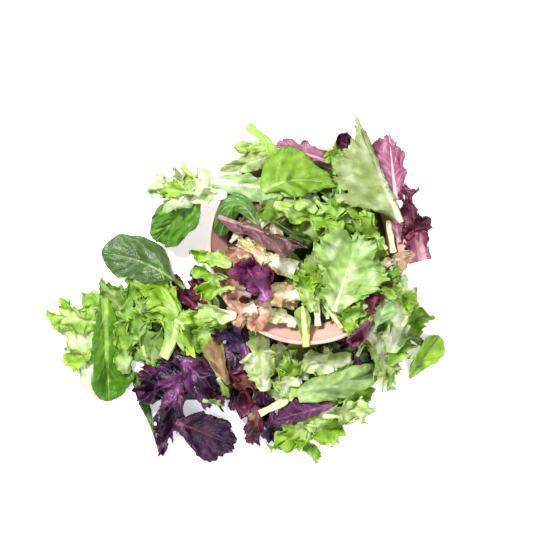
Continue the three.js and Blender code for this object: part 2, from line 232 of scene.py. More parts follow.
plainLeaf = {
    "crumple": 2.8, "hide": 0.8, "taper": 1.6, "stalk": 0, "fullest": 1.3, "round": 0.6, "wave": 15,
    "tooth": 2.2, "savoy": 0.5, "crease": 5, "veins": 8, "bloom": 0.0,
}
kinds = {
    "bright": {
        "crumple": 2.9, "hide": 0.9, "stem": 3.5, "ruffle": 6.0, "wave": 13, "lobe": (0.24, 12), "tooth": 2.4,
        "bloom": 0.45, "slot": "green_leaf",
        "rib": "#dcecae", "base": "#bedc74", "blade": "#a0c63e", "edge": "#c4e264", "alt": "#78a81e",
    },
    "mid": {
        "hide": 0.9, "stem": 3, "ruffle": 5.8, "wave": 14, "lobe": (0.22, 13), "bloom": 0.45,
        "slot": "green_leaf",
        "rib": "#cae29c", "base": "#aed06a", "blade": "#92bc40", "edge": "#b4d85e", "alt": "#689822",
    },
    "pale": {
        "hide": 0.75, "stem": 4, "taper": 1.5, "fullest": 1.2, "ruffle": 5.4, "lobe": (0.22, 14),
        "bloom": 0.6, "slot": "pale_leaf",
        "rib": "#eef3da", "base": "#e2ecbe", "blade": "#c8da90", "edge": "#b2d25a", "alt": "#a8c65e",
    },
    "romaine": {
        "crumple": 0.6, "hide": 0.3, "stem": 9, "taper": 0.9, "fullest": 1.25, "round": 0.75, "ruffle": 1.2,
        "wave": 24, "lobe": (0.05, 30), "tooth": 0.4, "crease": 1.2, "bloom": 0.1, "slot": "green_leaf",
        "rib": "#bcd68c", "base": "#7ca43c", "blade": "#56851a", "edge": "#669424", "alt": "#457012",
    },
    "spinach": {
        "crumple": 0.3, "hide": 0.2, "stem": 3.2, "taper": 0.5, "stalk": 0.2, "fullest": 0.8, "round": 0.75,
        "ruffle": 0.9, "wave": 34, "lobe": (0.0, 30), "tooth": 0.0, "savoy": 0.7, "crease": 0.8, "veins": 6,
        "slot": "spinach_leaf",
        "rib": "#7c9c54", "base": "#54762f", "blade": "#44622a", "edge": "#4c6c2c", "alt": "#38561a",
    },
    "red": {
        "crumple": 2.4, "stem": 5, "taper": 1.4, "ruffle": 5.4, "wave": 11, "lobe": (0.26, 10), "bloom": 0.25,
        "slot": "red_leaf",
        "rib": "#8c3c54", "base": "#6c2440", "blade": "#481026", "edge": "#5a1430", "alt": "#300a1a",
    },
    "purple": {
        "crumple": 2.4, "stem": 4.5, "taper": 1.4, "ruffle": 5.0, "lobe": (0.2, 17), "tooth": 1.1,
        "crease": 7, "bloom": 0.5, "slot": "red_leaf",
        "rib": "#80407a", "base": "#48193e", "blade": "#2c0c2c", "edge": "#461026", "alt": "#140514",
    },
    "mauve": {
        "crumple": 1.2, "hide": 0.3, "stem": 5, "taper": 1.3, "round": 0.65, "ruffle": 2, "lobe": (0.14, 20),
        "tooth": 1.3, "crease": 3, "slot": "red_leaf",
        "rib": "#d9a6b8", "base": "#a9718a", "blade": "#935670", "edge": "#7c3450", "alt": "#a86c84",
    },
    "mottled": {
        "crumple": 2.2, "stem": 12, "taper": 1.0, "fullest": 1.25, "ruffle": 4.2, "wave": 12,
        "lobe": (0.22, 16), "tooth": 2.0, "crease": 3.5, "slot": "mottled_leaf",
        "rib": "#f0eee0", "base": "#ece4bc", "blade": "#d6cf8c", "edge": "#bcc45c", "alt": "#a8685c",
    },
    "rib": {
        "crumple": 0.3, "hide": 0.0, "stem": 6, "taper": 0.2, "fullest": 1.0, "round": 0.5, "ruffle": 0,
        "wave": 30, "lobe": (0.0, 30), "tooth": 0.0, "savoy": 0.2, "crease": 0.5, "veins": 5,
        "slot": "leaf_stalk",
        "rib": "#d5dcae", "base": "#e2e4c8", "blade": "#adc47c", "edge": "#c3cf90", "alt": "#bdb47c",
    },
}


def leaf(kind, start, end, left, right, lift=(0, 0), arch=0, bow=0, roll=0, fold=(0, 0), cup=0.1, **more):
    # start is the cut end and end the tip, seen from above in mm; left and right are the seen reach of each
    # half of the blade, one number or its values at equal steps from start to end; bow bends the midrib to
    # the right; roll and fold are in degrees, positive fold lifting a half up
    return dict(
        kind=kind, start=start, end=end, reach=(left, right), lift=lift, arch=arch, bow=bow, roll=roll,
        fold=fold, cup=cup, **more,
    )


# what some rows share: near-white tints of pale leaves, lightened further as painted light because those
# leaves lie on the heap's shaded right side, and deep notches
whitish = {"base": "#f6fbe6", "blade": "#e6f4be", "alt": "#cce89a", "edge": "#c2e67c"}
notched = {"lobe": (0.6, 8), "tooth": 2.4, "wave": 8}

# The leaves that lie round the bowl, the lowest first: each settles on those before it.
aroundLeaves = [
    leaf("spinach", (-135, -187), (-158, -116), 5, 5, (4, 2), fold=(20, 40), base="#b4cf8c",
         blade="#5c8c1e"),
    leaf("mid", (-163, -72), (-186, -33), (3, 9, 12, 12, 11, 6), (3, 8, 12, 12, 9, 5), (0, 6),
         blade="#75943a"),
    leaf("mid", (-150, -72), (-164, -34), 10, 11, (0, 7)),
    leaf("red", (-96, -62), (-126, -32), 9, 9, (0, 3)),
    leaf("red", (-92, -56), (-101, -26), 11, 12, (0, 6)),
    leaf("mid", (-150, -96), (-160, -54), 12, 13, (0, 7)),
    # darkened by its tone: painted shade on a leaf that lies in shade
    leaf("mid", (-118, -96), (-140, -126), 10, 10, (0, 2), tone=0.42),
    leaf("pale", (-199, -143), (-206, -54), (4, 6, 10, 18, 24, 17), (4, 10, 18, 24, 26, 15), (1, 6),
         arch=3, stem=9, taper=0.8, base="#edf3e2", blade="#cdddaa", alt="#b4cf80", crumple=2),
    leaf("bright", (-186, -72), (-237, -62), (3, 9, 13, 15, 13, 8), (3, 14, 17, 15, 10, 6), (2, 5),
         bloom=0.7),
    leaf("bright", (-192, -94), (-219, -108), 10, 10, (0, 4)),
    leaf("mid", (-182, -52), (-206, -46), 8, 9, (0, 4), bloom=0.7),
    leaf("romaine", (-185, -48), (-181, -143), (3, 10, 16, 20, 24, 16), (3, 8, 12, 14, 16, 11), (4, 4),
         arch=4, fold=(4, 25), savoy=1.6, rib="#a9cc66", blade="#578f12", alt="#427808", base="#74a82c"),
    leaf("mid", (-165, -118), (-168, -66), (3, 8, 11, 12, 11, 6), (3, 7, 10, 12, 11, 6), (2, 5),
         bloom=0.6),
    leaf("mid", (-142, -127), (-141, -78), (1.5, 2, 4, 11, 15, 9), (1.5, 2, 5, 14, 17, 10), (2, 6),
         arch=3, ruffle=2, lobe=(0.1, 30), fold=(-12, -12), blade="#8aa65c", base="#cfdf9c", bloom=0.1),
    leaf("bright", (-150, -92), (-138, -126), 4, 3, (3, 4), fold=(30, 30)),
    leaf("purple", (-80, -108), (-150, -136), (4, 14, 18, 18, 16, 9), (4, 12, 22, 26, 22, 10), (4, 11),
         arch=6, fold=(10, 5)),
    leaf("purple", (-112, -104), (-80, -140), (4, 14, 17, 16, 14, 8), (4, 12, 14, 15, 14, 8), (6, 10),
         arch=6, fold=(5, 10)),
    leaf("purple", (-116, -126), (-131, -184), (4, 10, 11, 10, 8, 3), (4, 12, 14, 13, 10, 4), (0, 4),
         fold=(20, 20)),
    leaf("bright", (-130, -102), (-152, -26), (4, 9, 26, 33, 26, 12), (3, 3, 6, 10, 13, 9), (2, 8),
         bow=22, arch=4, fold=(4, -10), stem=9, taper=0.7),
    leaf("bright", (-120, -68), (-93, -82), (4, 14, 17, 17, 15, 9), (4, 16, 20, 19, 16, 9), (2, 6),
         fold=(5, 5)),
    leaf("spinach", (-111, -40), (-188, -7), (1.6, 2.4, 15, 19, 19, 13), (1.6, 2.8, 19, 23, 22, 14),
         (3, 10), arch=5, bow=7, fold=(-4, -6), cup=-0.06),
    leaf("bright", (-76, -78), (-102, -84), 11, 11, (0, 4), fold=(10, 10)),
    leaf("rib", (-73, -127), (-88, -87), (4, 5, 6, 8, 10, 11), (4, 5, 6, 8, 10, 10), (5, 2), stem=8,
         rib="#94795a", base="#8f7a52", blade="#76663c", edge="#93a04e", alt="#a58b66"),
    leaf("purple", (-52, -104), (-72, -74), 13, 13, (2, 8), fold=(10, 5), blade="#3a2250", base="#5c3e78",
         crease=3),
    leaf("purple", (-58, -90), (-48, -118), 10, 10, (0, 4)),
    leaf("purple", (-119, -161), (-67, -184), (2, 14, 19, 20, 17, 13), (2, 12, 20, 22, 20, 12), (0, 8),
         arch=3, ruffle=2, lobe=(0.06, 13), fold=(-5, 6), crease=1.5, crumple=0.8, rib="#984868",
         blade="#220e30", base="#34142c", alt="#180a20", bloom=0.1),
    leaf("red", (-43, -131), (-70, -120), 8, 8, (0, 4), blade="#6a3a30", base="#94664e"),
    leaf("red", (-42, -146), (-70, -146), 13, 14, (0, 4), wave=14),
    leaf("purple", (-38, -120), (-41, -166), 10, 10, (0, 5), fold=(10, 10)),
    leaf("red", (-44, -148), (-50, -184), (3, 8, 9, 9, 9, 7), (3, 8, 9, 9, 8, 5), (0, 3), base="#a09058"),
    leaf("purple", (-32, -148), (-31, -178), 10, 9, (0, 4), blade="#3a2c48"),
    leaf("bright", (-80, -121), (-71, -139), 3, 3, (0, 3)),
    leaf("bright", (-93, -141), (-76, -145), 2.5, 3, (0, 2)),
    leaf("bright", (-4, -164), (10, -203), (4, 6, 6, 6, 7, 5), (4, 7, 8, 6, 5, 4), (0, 3),
         blade="#6c9c1c"),
    leaf("bright", (28, -140), (-14, -168), (3, 10, 13, 14, 12, 8), (3, 9, 13, 14, 12, 8), (0, 3)),
    leaf("bright", (18, -154), (-30, -186), (3, 11, 15, 16, 14, 9), (3, 11, 15, 16, 13, 8), (0, 4)),
    leaf("bright", (-8, -162), (36, -170), 13, 12, (0, 5)),
    leaf("mid", (18, -136), (60, -140), 11, 11, (0, 4)),
    leaf("pale", (10, -154), (60, -150), (2, 8, 10, 10, 9, 5), (2, 7, 9, 10, 15, 13), (0, 6),
         fold=(5, 10)),
    leaf("mauve", (24, -145), (-30, -160), (2, 5, 7, 8, 7, 4), (2, 6, 12, 20, 16, 7), (3, 8),
         rib="#84587a", base="#6c3c5c", blade="#56284a", alt="#461e3c", edge="#4c2040"),
    leaf("pale", (-38, -133), (-44, -78), (4, 12, 15, 17, 15, 9), (4, 10, 13, 15, 13, 8), (0, 6),
         fold=(5, 5)),
    leaf("bright", (-18, -142), (-12, -97), (4, 12, 14, 14, 12, 7), (4, 9, 11, 12, 10, 6), (0, 7),
         bloom=0.6),
    leaf("pale", (-4, -124), (-30, -130), 8, 9, (0, 6)),
    leaf("pale", (44, -110), (-4, -106), (4, 11, 14, 16, 14, 9), (4, 9, 12, 13, 12, 8), (0, 7),
         bloom=0.7),
    leaf("spinach", (21, -118), (45, -110), 4, 5, (1, 4)),
    leaf("purple", (45, -97), (48, -116), 5, 5, (0, 4)),
    leaf("rib", (-43, -154), (-17, -141), 3.6, 3.6, (7, 5), stem=7, base="#e6dca8", blade="#d8cc90"),
    leaf("romaine", (-8, -138), (66, -114), (6, 11, 12, 11, 11, 9), (6, 11, 13, 14, 14, 11), (4, 8),
         arch=3, fold=(-4, -12), cup=-0.03, blade="#b0ca80", base="#c2d89c", edge="#86b03c",
         alt="#98b668", rib="#b4cc88", stem=5, taper=1.4),
    leaf("bright", (46, -101), (60, -78), 9, 9, (0, 4)),
    leaf("bright", (60, -96), (86, -112), 12, 12, (0, 4)),
    leaf("pale", (64, -86), (79, -134), (4, 12, 12, 10, 9, 6), (4, 10, 12, 12, 9, 6), (0, 4)),
    leaf("bright", (98, -80), (78, -104), 9, 9, (0, 5), bloom=0.5),
    leaf("bright", (70, -62), (98, -78), 10, 10, (0, 7), bloom=0.6),
    leaf("bright", (82, -84), (112, -60), (3, 9, 12, 12, 10, 6), (3, 9, 12, 12, 10, 6), (0, 6),
         bloom=0.6),
    leaf("pale", (66, -98), (60, -64), 11, 11, (0, 6), blade="#cfe0b0"),
    # near-white tints: painted light on a pale leaf that lies on the heap's shaded right side
    leaf("pale", (78, -98), (86, -40), (4, 11, 13, 14, 12, 7), (4, 12, 14, 14, 12, 8), (0, 8), **whitish),
    leaf("bright", (78, -62), (101, -42), 9, 9, (0, 5), bloom=0.6),
    leaf("spinach", (54, -79), (75, -53), 9, 10, (2, 5), blade="#7a9a3e"),
    leaf("spinach", (84, -92), (110, -92), 1.5, 5, (2, 5), bow=-8, arch=3, blade="#456a12"),
    leaf("spinach", (95, -122), (122, -83), (1, 6, 8, 9, 9, 6), (1, 5, 9, 13, 14, 9), (1, 6), arch=2,
         fold=(10, 0), blade="#92bc26", base="#9ac634", edge="#a0ca40", alt="#82ac1c"),
]

# The leaves in the bowl and over its rim, in the same order.
bowlLeaves = [
    leaf("red", (34, 74), (36, 101), 10, 8, (0, 5)),
    leaf("red", (46, 76), (54, 92), 4, 4, (0, 4)),
    leaf("mauve", (22, 75), (-28, 91), (2, 3, 5, 5, 6, 4), (2, 6, 9, 10, 9, 6), (0, 5)),
    leaf("mauve", (80, 40), (74, 102), (6, 14, 17, 19, 19, 5), (6, 10, 12, 13, 9, 2), (2, 9), arch=2,
         rib="#efc9d6", base="#a8647e", blade="#98506e", edge="#7c2f4a"),
    leaf("red", (105, -14), (88, 56), (13, 14, 14, 11, 9, 5), (7, 6, 11, 7, 7, 5), (2, 5), arch=2,
         stem=11, taper=0.6, rib="#d9a0ae", base="#a34a66", blade="#76264a"),
    leaf("red", (90, 6), (108, 24), 7, 7, (0, 5)),
    leaf("spinach", (-98, 44), (-137, 6), (3, 14, 18, 19, 18, 12), (3, 14, 18, 18, 16, 10), (0, -22),
         arch=4, blade="#568c18", base="#6fa030", alt="#3f7410", savoy=2.2, crease=2.0),
    leaf("pale", (-72, 46), (-143, 50), (4, 8, 13, 14, 13, 9), (4, 14, 18, 17, 15, 10), (0, -10), arch=4,
         base="#eef3e4", blade="#dae6c8", alt="#bcd096", edge="#c6da9c"),
    leaf("pale", (-82, 48), (-112, 64), 11, 12, (2, -2), bloom=0.7),
    leaf("bright", (-104, 46), (-130, 52), 8, 8, (0, -4), bloom=0.5),
    leaf("mid", (-26, 82), (-78, 67), (7, 10, 10, 8, 6, 3), (7, 10, 10, 8, 6, 3), (0, 4), fold=(0, 14),
         ruffle=1, lobe=(0.05, 30), crumple=0.6, crease=1.5, blade="#a3b074", alt="#8a9c58",
         base="#bcc48e"),
    leaf("bright", (-36, 88), (-67, 88), (2, 5, 7, 8, 7, 4), (2, 5, 7, 8, 7, 4), (0, 5), blade="#93ad2c"),
    leaf("rib", (-54, 108), (-26, 76), (3, 3, 4, 5, 6, 5), (3, 3, 4, 5, 6, 5), (6, 2), bow=-3, stem=8,
         rib="#93b644", base="#9ebe50", blade="#8cb03e", edge="#98ba48", alt="#7ca030"),
    leaf("romaine", (-87, 58), (-18, 49), (2, 8, 10, 10, 9, 8), (2, 8, 13, 14, 13, 10), (2, 4), arch=3,
         rib="#dceacc", base="#c2d8ae", blade="#a2c278", edge="#c2d8ae", alt="#8cb25a", fold=(-5, -5)),
    leaf("spinach", (-42, 12), (-78, 8), 9, 10, (2, 4), arch=6, bow=27, fold=(-35, -35), stalk=0.02,
         round=0.5, fullest=1.0, blade="#4c8228", base="#5c9234"),
    # these two are darkened by their tone: painted shade for the dark hollow in the middle of the bowl's heap
    leaf("mid", (-38, 27), (2, 1), 5, 5, (0, 0), tone=0.2),
    leaf("mid", (-14, 26), (-44, 36), 8, 8, (0, 4), tone=0.6),
    leaf("mid", (8, 40), (34, 16), 9, 9, (0, 5)),
    leaf("bright", (-30, 36), (32, 16), (3, 8, 9, 9, 8, 5), (3, 6, 9, 10, 9, 5), (0, 8), fold=(5, 8)),
    leaf("mid", (60, 20), (24, 40), 10, 11, (0, 6)),
    leaf("bright", (72, -4), (42, 32), 8, 9, (0, 7)),
    leaf("pale", (8, 30), (-29, 55), (3, 5, 6, 5, 4, 2), (3, 6, 6, 5, 4, 2), (0, 8), base="#bcd488",
         blade="#a4c25c", rib="#bcd488"),
    leaf("romaine", (-40, 48), (25, 53), (5, 28, 32, 24, 12, 4), (3, 6, 15, 17, 11, 4), (4, 8), arch=5,
         bow=-8, fold=(-6, -34), cup=0.02, blade="#88b232", base="#94bb44", alt="#79a424", taper=2,
         stem=5),
    leaf("mid", (44, 64), (18, 84), 9, 10, (0, 6)),
    leaf("pale", (84, 20), (45, 114), (3, 9, 21, 37, 47, 36, 43, 42, 17, 10, 6), (1, 2, 2, 2, 3, 3),
         (5, 12), arch=4, fold=(6, 20), base="#b8c68a", blade="#9aac68", edge="#a8bc6c", alt="#8a9e54",
         bloom=0.25, stem=7, taper=0.8, crumple=0.9, crease=2.5, ruffle=3.5),
    leaf("rib", (78, -7), (73, 22), 2.5, 3, (4, 4), stem=6, base="#d9dcae", blade="#ccd49c"),
    leaf("mauve", (83, 2), (79, 22), 5, 5, (3, 5), tone=0.9),
    leaf("mottled", (66, -18), (95, -8), (2, 5, 6, 7, 7, 4), (2, 6, 8, 9, 8, 5), (0, 4), stem=6,
         blade="#b49a7c"),
    # near-white tints: painted light on a pale leaf that lies on the heap's shaded right side
    leaf("pale", (84, -74), (80, -36), (4, 9, 12, 12, 10, 6), (4, 9, 12, 12, 10, 6), (0, 3), **whitish),
    leaf("bright", (72, -44), (98, -52), 9, 9, (0, 4), bloom=0.7),
    leaf("pale", (76, -20), (88, -42), 7, 7, (1, 2)),
    leaf("spinach", (79, -14), (80, -34), 4, 5, (2, 2), blade="#6b9a2c", base="#83ac44"),
    leaf("mid", (58, -30), (84, -25), 4, 4, (1, 3), **notched),
    leaf("mid", (56, -42), (85, -39), 4, 5, (1, 3), **notched),
    leaf("mid", (58, -34), (80, -48), 4, 4, (1, 3), **notched),
    leaf("spinach", (60, -79), (72, -50), 10, 10, (2, 4), base="#b4d08e", blade="#9cc270", alt="#8ab464",
         rib="#c4dba2", edge="#a5c97c"),
    leaf("bright", (60, -58), (24, -64), (4, 9, 11, 12, 10, 6), (4, 9, 12, 12, 10, 6), (0, 3), bloom=0.7),
    leaf("bright", (56, -46), (30, -74), 12, 12, (0, 5), bloom=0.5),
    leaf("red", (48, -38), (64, -54), 8, 8, (0, 3), wave=8),
    leaf("red", (62, -46), (56, -62), 6, 6, (0, 3), wave=8),
    leaf("red", (56, -68), (40, -89), 9, 9, (0, 2), base="#b87a98", blade="#9c4c74", edge="#a85a80"),
    leaf("rib", (10, -73), (8, -46), 3.2, 3.2, (0, 0), stem=6, base="#f0f1e6", blade="#e6ecd6"),
    leaf("rib", (31, -75), (14, -49), 2, 2, (0, 0), stem=4, blade="#a9cc74"),
    leaf("mottled", (-9, -71), (-43, -58), (3, 6, 6, 6, 5, 3), (3, 6, 7, 7, 6, 3), (0, 3), ruffle=1.5,
         stem=9, base="#efe9c8", blade="#e2dca8", alt="#cfc98c"),
    leaf("mottled", (-34, -54), (-62, -74), (4, 12, 14, 13, 11, 6), (4, 12, 15, 15, 12, 7), (0, 3),
         base="#d8b698", blade="#c49674", edge="#cbcb74", alt="#a86a62", rib="#e6d0b8"),
    leaf("mottled", (-6, -44), (-42, -46), (4, 8, 11, 12, 11, 6), (4, 6, 9, 12, 11, 6), (0, 5),
         base="#e2c8a6", blade="#d2c488", edge="#c9cc6c", alt="#b88468"),
    leaf("mottled", (-30, -12), (-74, -22), (4, 14, 16, 14, 12, 6), (4, 8, 8, 8, 8, 5), (0, 4),
         blade="#c89c78", base="#e0d0a4"),
    leaf("mottled", (-50, -42), (-76, -38), 9, 9, (0, 2), base="#d6b494", blade="#c4987a",
         edge="#b47a64"),
    leaf("mottled", (-46, -56), (-70, -66), 8, 8, (0, 2), base="#d6b494", blade="#c08e72",
         edge="#b8c070"),
    leaf("mottled", (-50, 2), (-74, -14), 9, 9, (0, 2), base="#d6b494", blade="#b88468", edge="#a8645c"),
    leaf("mottled", (-10, -23), (-68, 2), (7, 9, 12, 12, 9, 4), (7, 9, 9, 9, 8, 4), (0, 6), arch=3,
         stem=17),
    leaf("red", (-36, -50), (-60, -10), (4, 9, 12, 14, 13, 9), (4, 11, 13, 13, 12, 8), (0, 7), wave=8,
         ruffle=6, lobe=(0.34, 9), tooth=2.8, crumple=3.2, base="#985080", blade="#6c2250",
         edge="#741a42", alt="#4e1234", rib="#a8689a"),
    leaf("bright", (8, -48), (25, -26), 9, 9, (0, 6), blade="#78aa1c"),
    leaf("bright", (6, -60), (-10, -18), (3, 5, 8, 8, 6, 4), (3, 6, 11, 12, 8, 4), (0, 8),
         lobe=(0.6, 16)),
    leaf("rib", (-1, -92), (-4, -55), (3, 3, 4, 6, 9, 6), (3, 4, 5, 6, 6, 4), (4, 3), arch=2, stem=7,
         rib="#c9d384", base="#c9d384", blade="#5c7a28", edge="#6c8a34", alt="#88a048"),
    leaf("pale", (24, -60), (47, 12), (5, 15, 20, 35, 38, 18), (5, 16, 31, 38, 26, 14), (0, 10), arch=4,
         fold=(4, -4), stem=5, crumple=1.4, crease=3, base="#c8dc94", blade="#a8c870", alt="#8cb052",
         edge="#acce66", bloom=0.4),
    leaf("mauve", (-80, 26), (2, -3), (2, 2, 2, 1, 1, 1), (2, 10, 8, 13, 14, 4), (5, 8), arch=2,
         fold=(-40, -10), ruffle=2, rib="#ac8a84", base="#80585a", blade="#6c464c", alt="#744e4e",
         edge="#78564f"),
    leaf("bright", (-68, -18), (-101, -8), (3, 5, 6, 7, 6, 3), (3, 8, 10, 9, 7, 4), (0, 4), bloom=0.6),
    leaf("mid", (-72, -30), (-103, -22), 7, 8, (0, 1)),
    leaf("bright", (-65, -39), (-101, -41), 9, 9, (0, 3), bloom=0.6, tone=1.1),
    leaf("pale", (-64, -64), (-101, -56), (3, 7, 9, 10, 9, 5), (3, 5, 7, 8, 7, 4), (0, 0)),
]

# The core under the leaves that lie round the bowl, dark as painted shade: middle, half widths and height of
# each mound.
mounds = [
    ((-148, -74), (31, 32), 6),
    ((-106, -114), (36, 28), 26),
    ((-48, -126), (34, 25), 8),
    ((18, -128), (35, 27), 8),
    ((64, -94), (22, 24), 7),
    ((80, -68), (12, 14), 5),
]
heapLook = {
    "domeRadius": 72.0,  # mm, as every size here
    "domeDepth": 20.0,  # the edge of the core in the bowl lies this far below the rim
    "domeRise": 9.0,
    "skirtTop": 15.0,  # the loose leaves bank up in a ring at the front and left of the bowl
    "skirtRadius": 82.0,
    "skirtHalf": 22.0,
    "skirtFadeX": (-60, -35),  # it fades out over these distances left of and in front of the middle
    "skirtFadeY": (20, 45),
    "lumps": (1.4, 14),  # height and wavelength of the lumps on the cores
    "domeLumps": (1.5, 16),
    "clearance": 0.5,
    "thickness": 0.45,
    "cell": 1.5,
    "sink": 9.0,
    "droop": 0.35,
    "fillAround": 56,
    "fillBowl": 34,
    "fillScatter": 12.0,
    "fillHalf": (18, 32),  # half of the length of a leaf that fills the tangle
    "fillReach": (8, 13),
    "fillLeast": 2.5,  # height of the core from which it holds such leaves
    # the fill leaves' low tone is painted shade, for the deep gaps they show through
    "fillLeaf": {"tone": 0.72, "ruffle": 2, "crease": 2, "crumple": 1.5, "stem": 3},
    "bowlTop": 107.0,
    "bowlBase": 60.0,
    "roundTop": 54.0,
    "roundBase": 4.0,
    "tableLow": (-245, -225),
    "tableHigh": (150, 135),
    "seed": 11,
}


# Leaf surface

leafLook = {
    # how the rays of a blade bend: share of the ruffle, wavelength as a share of the kind's wave, power of
    # the way out to the margin, and the most it pitches
    "swings": ((0.5, 3.1, 1.1, 0.4), (0.6, 1.0, 3.0, 0.9), (0.7, 0.46, 5.0, 1.2), (0.3, 0.21, 8.0, 0.8)),
    "crumples": ((17, 1.0), (8, 0.42)),  # wavelength in mm and share
    "creases": ((40, 1.0), (17, 0.35)),
    "crumpleReach": 13.0,  # mm of blade each side from which a leaf crumples as much as its kind says
    "ruffleReach": 15.0,
    "clearRib": 6.0,  # mm from the midrib over which the forms of the margin set in
    "toothWidth": 4.4,
    "ribStart": 0.93,  # share of the length over which rays leave the midrib
    "ribPower": 1.15,
}


def ripple(rng, x, wave, octaves=3):
    # smooth noise along a line: a sum of sines with random phases, about -1 to 1
    total = np.zeros_like(x)
    for i in range(octaves):
        phase = rng.uniform(0, 2 * math.pi)
        total = total + np.sin(2 * math.pi * x / wave * (1 + 0.73 * i) + phase) / (1 + i)
    return total / 1.6


def patches(rng, x, y, wave, count=6):
    # smooth noise on a plane: a sum of plane waves in random directions, about -1 to 1
    total = np.zeros_like(x)
    for _ in range(count):
        turn = rng.uniform(0, math.pi)
        phase = rng.uniform(0, 2 * math.pi)
        length = wave * rng.uniform(0.6, 1.6)
        total = total + np.sin(2 * math.pi * (x * math.cos(turn) + y * math.sin(turn)) / length + phase)
    return total / math.sqrt(count * 0.7)


def reachAlong(kind, values, q, rng):
    # seen reach of one half of the blade: through the row's own values at equal steps of the length, or as
    # W sin(pi q^fullest)^round
    if isinstance(values, tuple):
        u = np.sin(math.pi / 2 * q)
        reach = np.interp(u, np.linspace(0, 1, len(values)), values)
        for _ in range(5):
            reach[1:-1] = (reach[:-2] + 2 * reach[1:-1] + reach[2:]) / 4
        return reach * np.sqrt(1 - u**12) * (1 + 0.08 * ripple(rng, q, 0.45))
    opened = np.clip((q - kind["stalk"]) / (1 - kind["stalk"]), 0, 1)
    uneven = 1 + kind["ruffle"] * (0.045 * ripple(rng, q, 1.1) + 0.03 * ripple(rng, q, 0.4))
    return values * np.sin(math.pi * opened ** kind["fullest"]) ** kind["round"] * uneven


def outward(values, b):
    # the integral over b of values, from the midrib in the middle column out to both margins
    middle = values.shape[1] // 2
    steps = (values[:, 1:] + values[:, :-1]) / 2 * np.abs(np.diff(b, axis=1))
    right = np.cumsum(steps[:, middle:], axis=1)
    left = np.cumsum(steps[:, :middle][:, ::-1], axis=1)[:, ::-1]
    return np.concatenate([left, np.zeros((len(values), 1)), right], 1)


def marginCuts(kind, rng, along, ray, b, opening):
    # Share of a ray that lobes and teeth cut off. Lobes are (0.5 - 0.5 cos(2 pi s / wave))^2.5, deeper on
    # some stretches than on others; teeth are a triangle wave at the very margin.
    depth, wave = kind["lobe"]
    drift = ripple(rng, along, 62) * 1.6
    notch = (0.5 - 0.5 * np.cos(2 * math.pi * along / wave + drift + rng.uniform(0, 6))) ** 2.5
    notch = notch * smoothstep(-0.7, 0.6, ripple(rng, along, 37)) * 1.2
    place = along / leafLook["toothWidth"] + 0.5 * ripple(rng, along, 13)
    teeth = np.abs(place % 1 - 0.5) * (1 + 0.6 * ripple(rng, along, 9))
    cut = depth * (notch + 0.4 * ripple(rng, along, 2.6 * wave)) * opening * b**1.5
    return cut + 2 * kind["tooth"] * teeth * opening * b**10 / (ray + 4)


def raySwings(kind, rng, along, ray, b, opening, widest):
    # Pitch of each ray at each point, and how far a frill leans along the margin: sums of
    # A b^power sin(2 pi s / wave) over the swings, with s the length of margin passed.
    ruffle = kind["ruffle"] * min(widest / leafLook["ruffleReach"], 1.0)
    wave = kind["wave"]
    pitch = np.zeros_like(b)
    slide = np.zeros_like(b)
    for share, part, power, most in leafLook["swings"]:
        phase = 2 * math.pi * along / (wave * part) + 1.3 * ripple(rng, along, wave * part * 3.7)
        swing = np.minimum(ruffle * share * (power + 1) / np.maximum(ray, 5), most) * opening
        swing = swing * (1 + 0.45 * ripple(rng, along, wave * 2.3)) * b**power
        turnOn = rng.uniform(0, 6)
        pitch += swing * np.sin(phase + turnOn)
        lean = 0.3 * min(part, 1) * ruffle * share / max(part, 1) * opening * b ** (power + 0.5)
        slide += lean * np.sin(2 * (phase + turnOn) + rng.uniform(-0.6, 0.6))
    return pitch, slide


def leafTint(kind, rng, x, y, t, b, isMottled):
    # base colour at the cut end to blade colour outward; patches of the other colour, which are real blotches
    # on mottled leaves and painted shade on the rest; pale patches of painted sheen; the margin's colour,
    # partly a painted highlight where it is lighter than the blade; and the row's tone, which the fill leaves
    # and some rows lower as painted shade, with a slow change of tone across it
    flat = {name: hexLinear(kind[name]) for name in ("base", "blade", "edge", "alt", "rib")}
    pale = smoothstep(0.1, 0.62, t * 0.75 + b * 0.5)[..., None]
    tint = flat["base"] * (1 - pale) + flat["blade"] * pale
    # patches of the alt colour: on mottled leaves the real blotches, on all other kinds painted shade across
    # the blade
    blotchAndShadeNoise = patches(rng, x, y, 11 if isMottled else 20)
    blotchAndShadeShare = smoothstep(0.1, 0.7, blotchAndShadeNoise)[..., None] * (0.95 * pale if isMottled else 0.75)
    tint = tint * (1 - blotchAndShadeShare) + flat["alt"] * blotchAndShadeShare
    # painted sheen: pale patches in the rib's colour stand for light glancing off the blade
    bloomShare = smoothstep(0.1, 0.9, patches(rng, x, y, 22))[..., None] * kind["bloom"]
    tint = tint * (1 - bloomShare) + flat["rib"] * bloomShare
    # the margin's colour; where it is lighter than the blade it is also a painted highlight along the curled
    # edges
    rimShare = (smoothstep(0.8, 1, b) * 0.75)[..., None]
    tint = tint * (1 - rimShare) + flat["edge"] * rimShare
    # the row's tone: below 1 on the fill leaves and some rows as painted shade
    tint = tint * (kind.get("tone", 1) * (1 + 0.1 * patches(rng, x, y, 9)))[..., None]
    hidden = kind["hide"] * smoothstep(0.05, 0.6, t)[..., None]
    return tint, flat["rib"] * (1 - hidden) + tint * hidden


